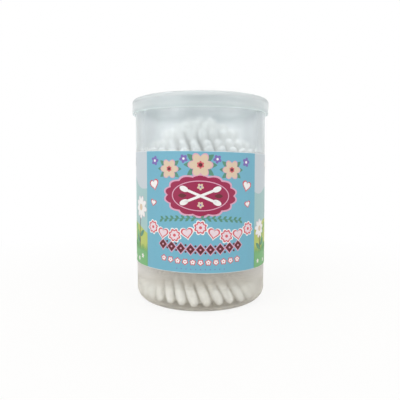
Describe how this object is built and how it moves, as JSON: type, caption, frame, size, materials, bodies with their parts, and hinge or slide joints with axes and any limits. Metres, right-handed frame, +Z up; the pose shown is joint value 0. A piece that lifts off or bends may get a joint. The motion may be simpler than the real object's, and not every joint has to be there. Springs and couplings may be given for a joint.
{
  "type": "cotton swab tub",
  "caption": "Clear round tub with a wrap label and push-on lid, holding a twisted bundle of double-ended cotton swabs on its pushed-up base.",
  "frame": {"origin": "on the axis, at the plane that the tub's standing ring rests on", "axes": "+Z up along the tub's axis, -Y towards the middle of the label's front panel"},
  "size_m": [0.0598, 0.0598, 0.0869],
  "materials": {
    "tub_plastic": "clear, slightly milky moulded plastic",
    "lid_plastic": "translucent moulded plastic",
    "label_paper": "printed, satin",
    "stick": "rolled white paper",
    "cotton": "wound white cotton"
  },
  "bodies": {
    "filled_tub": {"tub": "tub_plastic", "label": "label_paper", "sticks_ring_1": "stick", "sticks_ring_2": "stick", "sticks_ring_3": "stick", "sticks_ring_4": "stick", "sticks_core": "stick", "lower_tips_ring_1": "cotton", "lower_tips_ring_2": "cotton", "lower_tips_ring_3": "cotton", "lower_tips_ring_4": "cotton", "lower_tips_core": "cotton", "upper_tips_ring_1": "cotton", "upper_tips_ring_2": "cotton", "upper_tips_ring_3": "cotton", "upper_tips_ring_4": "cotton", "upper_tips_core": "cotton"},
    "lid": {"lid": "lid_plastic"}
  },
  "joints": [
    {"name": "lid_lift", "type": "slide", "parent": "filled_tub", "child": "lid", "axis": [0, 0, 1], "range_m": [0, 0.06]}
  ]
}
